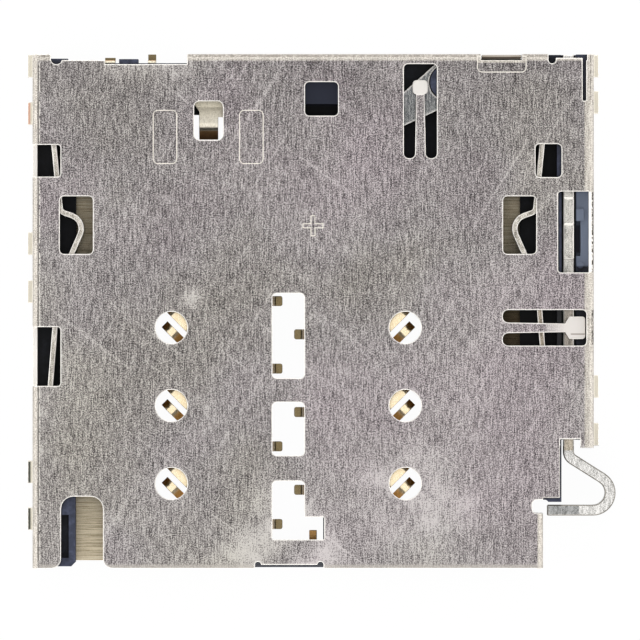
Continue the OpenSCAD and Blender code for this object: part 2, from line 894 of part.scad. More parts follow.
module contact(side, row)
    color("gold") {
        y = contact_y[row];
        prism(strip_z, strip_z + contact_t)
            contact_lead_plan(side, y);
        contact_place3(side, y) {
            finger(finger_n[0], finger_far, crown_len[0], tip_len[0]);
            finger(finger_n[1], finger_far - finger_lag, crown_len[1], tip_len[1]);
        }
        if (side == 0)
            tail(slot_l, tail_bend_l, 1, tail_y(side, y));
        else
            tail(slot_r, tail_bend_r, -1, tail_y(side, y));
    }

module contact_place3(side, y)
    translate([contact_x[side], y, 0])
        mirror([side, 0, 0])
            rotate(-finger_angle)
                children();

// Card-detect switch

detect_bar = [y_rear - 1.18, y_rear - 0.78];
detect_wide = 0.93;

module detect_strip()
    prism(detect_z, detect_z + contact_t)
        detect_strip_plan();

module detect_strip_plan() {
    box2(detect_x - detect_wide / 2, rear_bar_front - 0.02, detect_x + detect_wide / 2, detect_bar[1]);
    box2(detect_tails[0] - detect_tail_w[0] / 2, detect_bar[0], detect_x + detect_wide / 2, detect_bar[1]);
    for (i = [0, 1])
        box2(
            detect_tails[i] - detect_tail_w[i] / 2, detect_bar[0],
            detect_tails[i] + detect_tail_w[i] / 2, inner_rear - 0.15
        );
}

// Tongue in side view: level at the bar, up to the crest, then steeply down
function detect_side() =
    let (z = detect_z + contact_t / 2, top = detect_z + 0.12)
    rounded(
        [[rear_bar_front, z], [rear_bar_front - 0.1, z], [detect_front + 0.5, top],
         [detect_front + 0.36, top], [detect_front, z_web]],
        [0.1, 0.1, 0.1]
    );

module detect_tail(x, w, reach)
    along_x(x - w / 2, x + w / 2)
        polygon(strip(
            rounded(
                [[inner_rear - 0.15, detect_z + contact_t / 2],
                 [inner_rear - 0.15 + 0.07, detect_z + contact_t / 2],
                 [inner_rear - 0.15 + 0.07, contact_t / 2], [y_rear + reach, contact_t / 2]],
                [0.7 * contact_t, 0.7 * contact_t]
            ), contact_t
        ));

module detect_spring()
    color("goldenrod") {
        detect_strip();
        intersection() {
            along_x(detect_x - 1, detect_x + 1)
                polygon(strip(detect_side(), contact_t));
            prism(0, z_top)
                polygon([
                    [detect_x - detect_w / 2, detect_front - 0.2],
                    [detect_x + detect_w / 2, detect_front - 0.2],
                    [detect_x + detect_w / 2, rear_bar_front - 0.42],
                    [detect_x + detect_wide / 2, rear_bar_front - 0.42],
                    [detect_x + detect_wide / 2, rear_bar_front],
                    [detect_x - detect_wide / 2, rear_bar_front],
                    [detect_x - detect_w / 2, rear_bar_front - 0.25]
                ]);
        }
        detect_tail(detect_tails[0], detect_tail_w[0], -0.1);
        detect_tail(detect_tails[1], detect_tail_w[1], 0.01);
    }

// Fixed terminal: a landing under the tongue's tip, a lead in the web and a tail in the centre slot
terminal_y = row_y + 0.867;
landing_w = 0.4;
landing_reach = 0.2;

module detect_lead()
    prism(strip_z, strip_z + contact_t)
        detect_lead_plan();

module detect_lead_plan()
    polygon([
        [slot_l, terminal_y - tail_w / 2], [slot_l, terminal_y + tail_w / 2],
        [detect_x + landing_w / 2, detect_front - 0.25], [detect_x - landing_w / 2, detect_front - 0.25]
    ]);

module detect_terminal()
    color("goldenrod") {
        detect_lead();
        prism(strip_z, strip_z + contact_t)
            box2(
                detect_x - landing_w / 2, detect_front - 0.26,
                detect_x + landing_w / 2, detect_front - 0.25 + landing_reach
            );
        tail(slot_l, tail_bend_l, 1, terminal_y);
    }

// Ejector

// An arm that tapers from radius a at the origin to radius b at distance d
function arm_points(d, a, b) =
    let (t = acos((a - b) / d))
    concat(arc([0, 0], a, t, 360 - t, 2 * arc_steps), arc([d, 0], b, -t, t));

module lever_plan() {
    rotate(arm_rest) {
        polygon(arm_points(arm_len, eye_r, arm_neck_r));
        translate([arm_len, 0])
            circle(arm_tip_r);
    }
    rotate(atan2(push_arm[1], push_arm[0]))
        polygon(arm_points(norm(push_arm), eye_r, push_tip_r));
}

module eject_lever()
    color("lightsteelblue")
        translate([pivot[0], pivot[1], lever_z])
            difference() {
                linear_extrude(lever_t)
                    lever_plan();
                translate([0, 0, -eps])
                    cylinder(h = lever_t + 2 * eps, r = post_r + post_clear);
            }

// Centre line of the rod: straight, slanted out, round the loop and back to the bar's end
function rod_path() =
    let (
        n = [sin(loop_slope), cos(loop_slope)],
        d = [cos(loop_slope), -sin(loop_slope)],
        on = loop_c + loop_r * n,
        bend = on + d * (rod_x - on[0]) / d[0]
    )
    concat(
        [[rod_x, y_rear - 0.015]],
        corner([rod_x, y_rear], bend, on, 0.3),
        arc(loop_c, loop_r, 90 - loop_slope, -90, 3 * arc_steps),
        [[bar_end, loop_c[1] - loop_r]]
    );

tip_y = pivot[1] + arm_len * sin(arm_rest);
rod_dip = 0.08;
rod_steps = [[bump_y + 0.13, bump_y + 0.98], [bump_y - 2.2, bump_y - 1.01]];

module push_rod()
    color("lightgray")
        difference() {
            prism(rod_z, rod_top)
                polygon(strip(rod_path(), rod_t));
            // Opening for the lever's tip
            prism(lever_z - slide_clear, lever_z + lever_t + slide_clear)
                box2(
                    rod_x - rod_t, tip_y - arm_tip_r - slide_clear,
                    rod_x + rod_t, tip_y + arm_tip_r + slide_clear
                );
            // Dips in the top edge
            for (s = rod_steps)
                prism(rod_top - rod_dip, z_top)
                    box2(rod_x - rod_t, s[0], rod_x + rod_t, s[1]);
        }

// Latch springs

// Centre line of the left leaf: held at the front, bump into the channel, free at the rear
function latch_path() =
    let (tip = channel_l + bump_reach)
    rounded(
        [[channel_l - 0.74, latch_rear], [channel_l - 0.49, bump_y + 0.54], [tip + 0.1, bump_y + 0.25],
         [channel_l - 0.14, bump_y - 0.85], [channel_l - 0.62, bump_y - 2.6],
         [channel_l - 0.83, latch_front]],
        [0.2, 0.45, 0.8, 0.6]
    );

module latch()
    prism(latch_z, latch_z + latch_h)
        polygon(strip(latch_path(), latch_t));

module left_latch_spring()
    color("gainsboro")
        latch();

module right_latch_spring()
    color("gainsboro")
        mirror([1, 0, 0])
            latch();

module contact_c1() contact(0, 0);
module contact_c2() contact(0, 1);
module contact_c3() contact(0, 2);
module contact_c5() contact(1, 0);
module contact_c6() contact(1, 1);
module contact_c7() contact(1, 2);

shell();
base_plate();
housing();
contact_c1();
contact_c2();
contact_c3();
contact_c5();
contact_c6();
contact_c7();
detect_spring();
detect_terminal();
eject_lever();
push_rod();
left_latch_spring();
right_latch_spring();
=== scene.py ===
# %% [markdown]
# # A card socket seen from above
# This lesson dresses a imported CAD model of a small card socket: a folded steel cover, a steel
# floor, a dark moulding, gold contacts and a steel ejector. The shapes come from the CAD file and
# stay as they are. Blender adds what a drawing cannot show: rounded sheared edges, rolled grain,
# plating and studio light.

# %% Load the frame
import json
import math

import bpy
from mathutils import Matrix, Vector


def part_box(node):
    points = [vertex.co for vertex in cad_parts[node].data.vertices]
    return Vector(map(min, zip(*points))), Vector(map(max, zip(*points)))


MM = 0.001
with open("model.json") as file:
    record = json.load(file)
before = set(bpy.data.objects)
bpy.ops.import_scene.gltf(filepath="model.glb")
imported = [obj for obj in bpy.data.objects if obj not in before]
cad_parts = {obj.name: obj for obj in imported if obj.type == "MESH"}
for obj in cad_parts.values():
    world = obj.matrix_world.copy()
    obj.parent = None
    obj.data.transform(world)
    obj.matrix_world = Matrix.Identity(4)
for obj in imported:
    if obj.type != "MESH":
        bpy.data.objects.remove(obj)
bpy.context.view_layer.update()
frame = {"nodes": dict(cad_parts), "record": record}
nodes = frame["nodes"]
print("nodes:", sorted(nodes))

scene = bpy.context.scene
scene.view_settings.view_transform = "Standard"

# %% [markdown]
# ## Edges of stamped sheet
# Punched and folded sheet never has a razor edge: the punch rolls one rim over, and in the light
# that rim shows a bright line. A bevel modifier makes that rim and leaves the CAD mesh itself
# alone.
# The imported mesh is all loose triangles, so its corners are welded and flat faces joined again
# by a planar dissolve; otherwise the bevel would find no sharp edge to round. The bevel can give
# its new faces a material of their own, whose pale colour is a painted highlight for that bright
# line.

# %% Rounded rims
WELD_REACH = 0.0005 * MM
FLAT_ANGLE = math.radians(1)
SHARP_ANGLE = math.radians(40)
RIM_SEGMENTS = 2
NO_SLOT = -1


def round_edges(name, width, rim_slot=NO_SLOT):
    """Joins flat faces of a CAD node again, then rounds its sharp edges by width, in metres."""
    piece = nodes[name]
    weld = piece.modifiers.new("weld", "WELD")
    weld.merge_threshold = WELD_REACH
    join = piece.modifiers.new("join_flats", "DECIMATE")
    join.decimate_type = "DISSOLVE"
    join.angle_limit = FLAT_ANGLE
    rim = piece.modifiers.new("rim", "BEVEL")
    rim.width = width
    rim.segments = RIM_SEGMENTS
    rim.limit_method = "ANGLE"
    rim.angle_limit = SHARP_ANGLE
    rim.use_clamp_overlap = False
    rim.material = rim_slot
    for face in piece.data.polygons:
        face.use_smooth = False


# %% [markdown]
# ## Small tools for node trees
# Materials here are built by script, so a few short helpers keep the steps readable: one feeds a
# socket with a number or a link, the others make one node each and give back its output.

# %% Node helpers


def feed(tree, socket, value):
    """Sets a socket to a plain value, or links it to the output of another node."""
    if isinstance(value, bpy.types.NodeSocket):
        tree.links.new(value, socket)
    else:
        socket.default_value = value


def math_node(tree, operation, a, b, clamp=False):
    made = tree.nodes.new("ShaderNodeMath")
    made.operation = operation
    made.use_clamp = clamp
    feed(tree, made.inputs[0], a)
    feed(tree, made.inputs[1], b)
    return made.outputs[0]


def vector_node(tree, operation, a, b=(0, 0, 0), out="Vector"):
    made = tree.nodes.new("ShaderNodeVectorMath")
    made.operation = operation
    feed(tree, made.inputs[0], a)
    feed(tree, made.inputs[1], b)
    return made.outputs[out]


def noise_node(tree, vector, scale, detail=2.0, rough=0.5):
    made = tree.nodes.new("ShaderNodeTexNoise")
    made.noise_dimensions = "3D"
    settings = {"Vector": vector, "Scale": scale, "Detail": detail, "Roughness": rough}
    for name, value in settings.items():
        feed(tree, made.inputs[name], value)
    return made.outputs["Fac"]


def axis_of(tree, vector, axis):
    apart = tree.nodes.new("ShaderNodeSeparateXYZ")
    feed(tree, apart.inputs["Vector"], vector)
    return apart.outputs[axis]


def turned_by(tree, vector, degrees):
    """The same place, turned about the upright axis."""
    made = tree.nodes.new("ShaderNodeMapping")
    made.inputs["Rotation"].default_value = (0, 0, math.radians(degrees))
    feed(tree, made.inputs["Vector"], vector)
    return made.outputs["Vector"]


def outside(tree, mask):
    """1 where a mask is 0, and 0 where it is 1."""
    return math_node(tree, "SUBTRACT", 1.0, mask)


# %% [markdown]
# Effects that several finishes share become node groups: a group is built once, and each material
# places it with its own values. Copying the nodes into every material would work too, but a change
# would then have to be made many times.

# %% Group helpers


def new_group(name, inputs, output, kind="NodeSocketFloat"):
    """An empty shader group. inputs gives each name its first value; there is one output."""
    group = bpy.data.node_groups.new(name, "ShaderNodeTree")
    kinds = {3: "NodeSocketVector", 4: "NodeSocketColor"}
    for label, value in inputs.items():
        sort = "NodeSocketFloat" if isinstance(value, float) else kinds[len(value)]
        made = group.interface.new_socket(name=label, in_out="INPUT", socket_type=sort)
        made.default_value = value
    group.interface.new_socket(name=output, in_out="OUTPUT", socket_type=kind)
    start = group.nodes.new("NodeGroupInput")
    end = group.nodes.new("NodeGroupOutput")
    return group, start.outputs, end.inputs[output]


def place_group(tree, group, **values):
    """Puts a shared effect into a material with its own values and gives back its output."""
    made = tree.nodes.new("ShaderNodeGroup")
    made.node_tree = group
    for name, value in values.items():
        feed(tree, made.inputs[name], value)
    return made.outputs[0]


# %% [markdown]
# ## Rolled grain
# Steel strip carries fine lines from the rollers, all in one direction. Stretching a noise texture
# along that direction draws them. Two stretched noises of different fineness, and a fine even
# speckle, come together in one node group, so that the cover, the floor and the springs can share
# it with their own direction and strength.

# %% Grain node group
FINE_ROUGH = 0.7
WIDE_SCALE = 0.35
WIDE_ROUGH = 0.6
WIDE_SHARE = 0.2
LINES_MEAN = 0.6
DOTS_ROUGH = 0.75
NOISE_MEAN = 0.5
MIDDLE_SHADE = 0.5


def build_grain():
    """Lines along the second axis of Vector. Across, Along and Dots are in parts per metre."""
    group, given, shade = new_group(
        "rolled_grain",
        {
            "Vector": (0, 0, 0), "Across": 16000.0, "Along": 900.0, "Lines": 0.5,
            "Speckle": 0.3, "Dots": 34000.0, "Detail": 3.0,
        },
        "Shade",
    )
    stretch = group.nodes.new("ShaderNodeCombineXYZ")
    for axis, name in {"X": "Across", "Y": "Along", "Z": "Along"}.items():
        feed(group, stretch.inputs[axis], given[name])
    scaled = vector_node(group, "MULTIPLY", given["Vector"], stretch.outputs["Vector"])
    fine = noise_node(group, scaled, 1.0, given["Detail"], FINE_ROUGH)
    wide = noise_node(group, scaled, WIDE_SCALE, 2.0, WIDE_ROUGH)
    lines = math_node(group, "ADD", fine, math_node(group, "MULTIPLY", wide, WIDE_SHARE))
    lines = math_node(group, "SUBTRACT", lines, LINES_MEAN)
    lines = math_node(group, "MULTIPLY", lines, given["Lines"])
    dots = noise_node(group, given["Vector"], given["Dots"], given["Detail"], DOTS_ROUGH)
    dots = math_node(group, "SUBTRACT", dots, NOISE_MEAN)
    dots = math_node(group, "MULTIPLY", dots, given["Speckle"])
    mixed = math_node(group, "ADD", lines, dots)
    feed(group, shade, math_node(group, "ADD", mixed, MIDDLE_SHADE, clamp=True))
    return group


grain_group = build_grain()
print("group:", grain_group.name)

# %% [markdown]
# ## Bright rims
# A sharp edge catches the light in a bright line, and here that line is painted: close to a
# sharp edge the colour turns pale, as a painted highlight. It could be painted by hand, but the
# Bevel node finds such places by itself: its rounded normal leaves the face's own normal only near
# an edge.

# %% Rim group
RIM_SAMPLES = 6


def build_rim_mask():
    """1 close to a sharp edge of the mesh, 0 on open faces; Radius in metres."""
    group, given, mask = new_group("rim_mask", {"Radius": 0.07 * MM, "Gain": 8.0}, "Mask")
    rolled = group.nodes.new("ShaderNodeBevel")
    rolled.samples = RIM_SAMPLES
    feed(group, rolled.inputs["Radius"], given["Radius"])
    flat = group.nodes.new("ShaderNodeNewGeometry")
    agree = vector_node(
        group, "DOT_PRODUCT", rolled.outputs["Normal"], flat.outputs["Normal"], "Value"
    )
    turn = outside(group, agree)
    feed(group, mask, math_node(group, "MULTIPLY", turn, given["Gain"], clamp=True))
    return group


rim_mask = build_rim_mask()
print("group:", rim_mask.name)

# %% [markdown]
# ## Deep slots
# Walls and the cover shut the sky out of the slots. Ambient occlusion tells how much sky a place
# sees, and there the colour is darkened as painted shade, a little more than the light alone
# would darken it.

# %% Shade group
SHELTER_REACH = 4 * MM
SHELTER_SAMPLES = 8


def build_shelter():
    """Paints shade into Colour in deep slots; Lift is how soon it is fully lit, Steep how fast it
    falls.
    """
    group, given, shaded = new_group(
        "deep_shade", {"Colour": (1, 1, 1, 1), "Lift": 2.0, "Steep": 1.0}, "Shaded",
        "NodeSocketColor",
    )
    open_sky = group.nodes.new("ShaderNodeAmbientOcclusion")
    open_sky.samples = SHELTER_SAMPLES
    open_sky.inputs["Distance"].default_value = SHELTER_REACH
    light = math_node(group, "MULTIPLY", open_sky.outputs["AO"], given["Lift"], clamp=True)
    light = math_node(group, "POWER", light, given["Steep"])
    dim = group.nodes.new("ShaderNodeVectorMath")
    dim.operation = "SCALE"
    feed(group, dim.inputs[0], given["Colour"])
    feed(group, dim.inputs["Scale"], light)
    feed(group, shaded, dim.outputs["Vector"])
    return group


deep_shade = build_shelter()
print("group:", deep_shade.name)

# %% [markdown]
# ## Marked places
# A stain or a polished spot belongs to one place on the real piece. A box mask marks off such a
# place in plan, by its centre and half size, so that no image and no UV map is needed.

# %% Box group
BOX_SOFT = 0.02


def build_box_mask():
    """1 inside an upright box, fading out over Soft; all in metres, seen from above."""
    group, given, mask = new_group(
        "box_mask",
        {"Vector": (0, 0, 0), "Centre": (0, 0, 0), "Half": (0, 0, 0), "Soft": BOX_SOFT * MM},
        "Mask",
    )
    away = vector_node(group, "SUBTRACT", given["Vector"], given["Centre"])
    past = vector_node(group, "SUBTRACT", vector_node(group, "ABSOLUTE", away), given["Half"])
    past = math_node(group, "MAXIMUM", axis_of(group, past, "X"), axis_of(group, past, "Y"))
    past = math_node(group, "DIVIDE", past, given["Soft"])
    feed(group, mask, math_node(group, "SUBTRACT", 1.0, past, clamp=True))
    return group


box_mask = build_box_mask()


def inside_box(tree, where, centre, half, soft=BOX_SOFT):
    """The box mask with its values in millimetres."""
    return place_group(
        tree, box_mask, Vector=where, Soft=soft * MM,
        Centre=(centre[0] * MM, centre[1] * MM, 0), Half=(half[0] * MM, half[1] * MM, 0),
    )


print("group:", box_mask.name)

# %% [markdown]
# ## Metal finishes
# The cover and the floor are bare stainless strip, the springs brighter strip, and the contacts
# are plated. Each is a Principled shader with high Metallic. The grain changes the colour and the
# roughness a little, as fine grooves do. Colours are given as a dark, a middle and a bright one,
# and the grain runs between them. First come helpers for colours and ramps.

# %% Colour helpers


def linear(r, g, b):
    """A colour, 0 to 255, turned into the linear values that a shader wants."""

    def channel(v):
        v = v / 255
        return v / 12.92 if v <= 0.04045 else ((v + 0.055) / 1.055) ** 2.4

    return (channel(r), channel(g), channel(b), 1.0)


def new_material(name):
    made = bpy.data.materials.new(name)
    made.use_nodes = True
    made.node_tree.nodes.clear()
    tree = made.node_tree
    shader = tree.nodes.new("ShaderNodeBsdfPrincipled")
    out = tree.nodes.new("ShaderNodeOutputMaterial")
    tree.links.new(shader.outputs["BSDF"], out.inputs["Surface"])
    return made, tree, shader


def ramp_node(tree, factor, stops):
    made = tree.nodes.new("ShaderNodeValToRGB")
    ends = made.color_ramp.elements
    ends[0].position, ends[0].color = stops[0]
    ends[1].position, ends[1].color = stops[-1]
    for place, colour in stops[1:-1]:
        ends.new(place).color = colour
    feed(tree, made.inputs["Fac"], factor)
    return made.outputs["Color"]


def mix_colours(tree, factor, a, b, how="MIX"):
    made = tree.nodes.new("ShaderNodeMix")
    made.data_type = "RGBA"
    made.blend_type = how
    for socket, value in (("Factor", factor), ("A", a), ("B", b)):
        feed(tree, [i for i in made.inputs if i.name == socket and i.enabled][0], value)
    return [o for o in made.outputs if o.enabled][0]


# %% [markdown]
# All the metals are made by one function, which lays the grain, tints it by height and place,
# paints shade into it in deep slots and a highlight on its rims. Writing out each material would
# be longer and would hide what differs.

# %% Metal helper
LEVEL_SPAN = 1.4
STOP_PLACES = (0.25, 0.5, 0.75)
PATCH_SOFT = 0.03
GRAIN_ROUGH = 0.2
RIM_HIGHLIGHT = linear(247, 243, 237)
RIM_GAIN = 8.0
RIM_GRAIN_BREAK = 2.6


def place_grain(tree, turned=False, **values):
    """The grain group on the object's own coordinates; turned lays the lines along X."""
    where = tree.nodes.new("ShaderNodeTexCoord").outputs["Object"]
    vector = turned_by(tree, where, 90) if turned else where
    return where, place_group(tree, grain_group, Vector=vector, **values)


def by_height(tree, where, levels):
    """A ramp over the height above the board; levels are (height, colour) pairs in millimetres."""
    height = math_node(tree, "DIVIDE", axis_of(tree, where, "Z"), LEVEL_SPAN * MM)
    return ramp_node(tree, height, [(z / LEVEL_SPAN, shown) for z, shown in levels])


def metal(name, stops, roughness, metallic=1.0, levels=(), patches=(), lift=0.0, rim=0.0,
          turned=False, **grain):
    """Grained metal. stops are its dark, middle and bright colours; metallic is one number, or
    (height, number) pairs; levels tints it by height; patches tints boxes of it; lift paints shade
    in deep slots; rim is the reach of a painted highlight on edges. Lengths are in millimetres."""
    made, tree, shader = new_material(name)
    where, shade = place_grain(tree, turned, **grain)
    colour = ramp_node(tree, shade, list(zip(STOP_PLACES, stops)))
    if levels:
        colour = mix_colours(tree, 1.0, colour, by_height(tree, where, levels), "MULTIPLY")
    for centre, half, tint in patches:
        patch = inside_box(tree, where, centre, half, PATCH_SOFT)
        colour = mix_colours(tree, patch, colour, mix_colours(tree, 1.0, colour, tint, "MULTIPLY"))
    if lift:
        colour = place_group(tree, deep_shade, Colour=colour, Lift=lift)
    # Painted highlight along the edges, weaker where the grain is dark.
    if rim:
        edge = place_group(tree, rim_mask, Radius=rim * MM, Gain=RIM_GAIN)
        rim_grain = math_node(tree, "MULTIPLY", shade, RIM_GRAIN_BREAK, clamp=True)
        colour = mix_colours(tree, math_node(tree, "MULTIPLY", edge, rim_grain), colour, RIM_HIGHLIGHT)
    feed(tree, shader.inputs["Base Color"], colour)
    if isinstance(metallic, float):
        shader.inputs["Metallic"].default_value = metallic
    else:
        share = by_height(tree, where, [(z, (part, part, part, 1)) for z, part in metallic])
        feed(tree, shader.inputs["Metallic"], share)
    rough = math_node(tree, "MULTIPLY", shade, GRAIN_ROUGH)
    rough = math_node(tree, "ADD", rough, roughness - GRAIN_ROUGH / 2)
    feed(tree, shader.inputs["Roughness"], rough)
    return made


# %% [markdown]
# ## Steel pieces
# The floor plate has a khaki cast and lines across the tray's path. Its rear tongue carries a clip
# with a thin dark line, and a bent lug shows in the centre slot. Deep in the slot by the right
# latch the floor gets painted shade. The rod is bright strip seen on edge, mottled where it loops
# out for the pin, darker at the loop's foot and in the slots, and painted with the cover's shade
# at its
# neck. Each place is a box: its centre, its half size and its tint.

# %% Marked places on the steels
CLIP = ((6.62, 8.27), (0.8, 0.12), linear(196, 198, 212))
# A thin dark line along the clip.
CLIP_DARK_LINE = ((6.62, 8.262), (0.8, 0.012), linear(96, 84, 72))
# Painted shade on the floor deep in the slot by the right latch.
SLOT_FLOOR_SHADE = ((7.17, -0.55), (0.5, 0.7), linear(142, 132, 116))
LUG = ((0.46, -7.3), (0.2, 0.3), linear(226, 186, 130))
LOOP_FOOT = ((8.6, -6.4), (0.55, 0.2), linear(192, 194, 196))
# Painted shade: the cover's shadow on the rod's neck.
ROD_NECK_SHADE = ((8.8, -4.35), (0.3, 0.17), linear(226, 216, 200))
ROD_WINDOW = ((8.8, 2.65), (0.4, 1.5), linear(232, 230, 226))
ROD_SLOT = ((8.79, -0.51), (0.25, 0.6), linear(196, 188, 180))
LOOP_RIM = ((9.3, -6), (1.3, 1.6), linear(134, 131, 126))
LATCH_SLOT = ((7.9, -0.5), (0.3, 0.6), linear(212, 204, 194))
FAINT = linear(232, 230, 226)
PRESSED = [
    ((-4.33, 5.7), (0.5, 1.0), FAINT),
    ((-1.5, 5.7), (0.5, 1.0), FAINT),
    ((0.48, 2.77), (0.5, 0.5), FAINT),
    ((6.65, 7.9), (0.9, 0.5), FAINT),
]
print("half-pressed pads:", len(PRESSED))

# %% [markdown]
# The latch leaves are duller and warmer than the rod, with a painted highlight along their edges,
# and the lever is a flat blank with fine marks and a painted highlight on its sheared rims. A last
# finish serves all the rolled rims.

# %% Steel materials
plate_steel = metal(
    "plate_steel", (linear(142, 127, 97), linear(206, 192, 165), linear(234, 223, 198)), 0.5,
    metallic=0.7, lift=4.0, turned=True, patches=[CLIP, CLIP_DARK_LINE, SLOT_FLOOR_SHADE, LUG],
    Across=30000.0, Along=700.0, Lines=1.5, Speckle=0.5,
)
spring_steel = metal(
    "spring_steel", (linear(132, 131, 128), linear(206, 204, 200), linear(240, 238, 235)), 0.4,
    patches=[LOOP_FOOT, ROD_NECK_SHADE, ROD_WINDOW, ROD_SLOT], lift=2.5,
    Across=12000.0, Along=2500.0, Lines=1.2, Speckle=2.2, Dots=36000.0,
)
latch_steel = metal(
    "latch_steel", (linear(96, 91, 84), linear(180, 174, 164), linear(228, 223, 214)), 0.4,
    patches=[LATCH_SLOT], lift=2.5, rim=0.07, Across=12000.0, Along=3000.0, Lines=1.2, Speckle=1.8,
)
lever_steel = metal(
    "lever_steel", (linear(72, 74, 75), linear(119, 121, 122), linear(180, 180, 178)), 0.4,
    lift=3.0, rim=0.12, Across=24000.0, Along=2400.0, Lines=2.0, Speckle=2.4,
)
# Painted highlight: a pale finish for the rounded rims' own faces.
rim_highlight_steel = metal(
    "rim_highlight_steel", (linear(226, 221, 213), linear(242, 238, 231), linear(252, 249, 245)), 0.3,
    metallic=0.4, patches=[*PRESSED, LOOP_RIM],
    Across=9000.0, Along=9000.0, Lines=0.3, Speckle=0.2,
)
for made in (plate_steel, spring_steel, latch_steel, lever_steel, rim_highlight_steel):
    print("steel:", made.name)

# %% [markdown]
# ## Plated springs
# Light and shade are painted on each contact by a ramp over height: the crowns, which rub on the
# card, are painted pale as a highlight, the slopes a darker amber as painted shade, and the solder
# tails are darker. The tips, which slope down, get painted shade too. The detect spring has a
# paler plate, with a painted white highlight on its crest and painted brown shade on its tip.
# Slopes see little of the room, so Metallic is low there and they keep their colour.

# %% Plated materials
CONTACT_COLUMNS = [(-4.128, -0.195), (3.492, 0.195)]
CONTACT_ROWS = (-0.542, -3.082, -5.622)
TIP_SHIFT = 0.08
TIP_HALF = (0.12, 0.13)
# Painted shade on the contact tips, where they slope down out of the light.
TIP_SHADE = [
    ((x + reach, y + TIP_SHIFT), TIP_HALF, linear(150, 140, 120))
    for x, reach in CONTACT_COLUMNS for y in CONTACT_ROWS
]
# Its levels paint a highlight on the crowns and shade on the slopes.
gold = metal(
    "gold", (linear(214, 198, 170), linear(242, 232, 210), linear(254, 250, 240)), 0.26,
    metallic=[(0.14, 0.75), (0.24, 0.1), (0.7, 0.1), (0.76, 0.75)], patches=TIP_SHADE,
    levels=[
        (0.1, linear(116, 106, 82)),
        (0.16, linear(222, 214, 206)),
        (0.4, linear(255, 178, 92)),
        (0.66, linear(255, 200, 122)),
        (0.74, linear(250, 241, 222)),
    ],
    Across=9000.0, Along=3000.0, Lines=0.7, Speckle=0.8,
)
# Its levels paint a white highlight on the crest and brown shade on the tip.
pale_gold = metal(
    "pale_gold", (linear(198, 193, 180), linear(234, 229, 216), linear(250, 248, 240)), 0.42,
    metallic=[(0.2, 0.8), (0.3, 0.1), (0.72, 0.1), (0.79, 1.0)],
    levels=[
        (0.1, linear(128, 116, 90)),
        (0.5, linear(178, 134, 92)),
        (0.7, linear(196, 156, 112)),
        (0.75, linear(240, 235, 222)),
        (0.82, linear(255, 252, 246)),
    ],
    Across=16000.0, Along=9000.0, Lines=0.8, Speckle=1.0,
)
print("plating:", gold.name, pale_gold.name)

# %% [markdown]
# ## The cover's own finish
# The cover is the largest face in view, so its material is built in steps. The first ones only
# shift the grain's shade, before any colour is chosen, so that the rollers' lines run on through
# every mark. Here are the grain, slow clouds of tone, a slight fade towards the mouth and a sheen
# at the rear.

# %% Cover grain and clouds
cover_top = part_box("shell")[1].z
HALF_DEPTH = 8.4 * MM
MOUTH_FADE = -0.04
CLOUD_SCALE = 260.0
CLOUD_ROUGH = 0.55
CLOUD_SHARE = 0.28
REAR_SHEEN = ((-4.95, 7.95), (1.35, 0.15), 0.25)
SHEEN_SHARE = 0.12
cover_steel, tree, shader = new_material("cover_steel")
where, shade = place_grain(
    tree, Across=30000.0, Along=2300.0, Lines=0.62, Speckle=1.2, Dots=28000.0, Detail=0.0
)
cloud = noise_node(tree, where, CLOUD_SCALE, 3.0, CLOUD_ROUGH)
cloud = math_node(tree, "MULTIPLY", math_node(tree, "SUBTRACT", cloud, NOISE_MEAN), CLOUD_SHARE)
towards_mouth = math_node(tree, "MULTIPLY", axis_of(tree, where, "Y"), MOUTH_FADE / HALF_DEPTH)
sheen = math_node(tree, "MULTIPLY", inside_box(tree, where, *REAR_SHEEN), SHEEN_SHARE)
print("cover top at", cover_top)

# %% [markdown]
# Handling left pale smudges near the mouth. They could be painted on an image, but soft round
# spots, broken up by a noise, look as uneven and need no map.

# %% Smudges
SMUDGES = [
    ((3.5, -6.0), 2.0), ((4.5, -6.7), 1.7), ((-0.7, -7.3), 2.0), ((-1.7, -7.8), 1.6),
    ((0.4, -7.9), 1.3), ((-3.4, 0.45), 0.45),
]
PATCHY_SCALE = 700.0
PATCHY_ROUGH = 0.65
PATCHY_FROM = 0.37
SMUDGE_GAIN = 2.3


def soft_spot(centre, radius):
    """1 at centre, fading to 0 at radius; centre and radius in millimetres on the cover."""
    spot = (centre[0] * MM, centre[1] * MM, cover_top)
    away = vector_node(tree, "DISTANCE", where, spot, "Value")
    share = math_node(tree, "DIVIDE", away, radius * MM)
    return math_node(tree, "SUBTRACT", 1.0, share, clamp=True)


smudge = 0.0
for centre, radius in SMUDGES:
    smudge = math_node(tree, "MAXIMUM", smudge, soft_spot(centre, radius))
patchy = noise_node(tree, where, PATCHY_SCALE, 4.0, PATCHY_ROUGH)
patchy = math_node(tree, "SUBTRACT", patchy, PATCHY_FROM)
smudge = math_node(tree, "MULTIPLY", smudge, patchy)
smudge = math_node(tree, "MULTIPLY", smudge, SMUDGE_GAIN, clamp=True)
print("smudges:", len(SMUDGES))

# %% [markdown]
# A few hairline scratches cross the grain. The grain group serves again, laid aslant and stretched
# long; only its highest crests are kept, so that the scratches stay few and thin.

# %% Scratches
SCRATCH_TURNS = (32, -54)
SCRATCH_LEVEL = 0.71
scratches = 0.0
for degrees in SCRATCH_TURNS:
    streak = place_group(
        tree, grain_group, Vector=turned_by(tree, where, degrees),
        Across=9000.0, Along=250.0, Lines=1.0, Speckle=0.0, Detail=0.0,
    )
    streak = math_node(tree, "SUBTRACT", streak, SCRATCH_LEVEL, clamp=True)
    scratches = math_node(tree, "MAXIMUM", scratches, streak)
print("scratch directions:", len(SCRATCH_TURNS))

# %% [markdown]
# Now the shade becomes a colour. One ramp gives the steel its greys, and a second, very slow noise
# tints them a little green or purple, as thin oxide does.

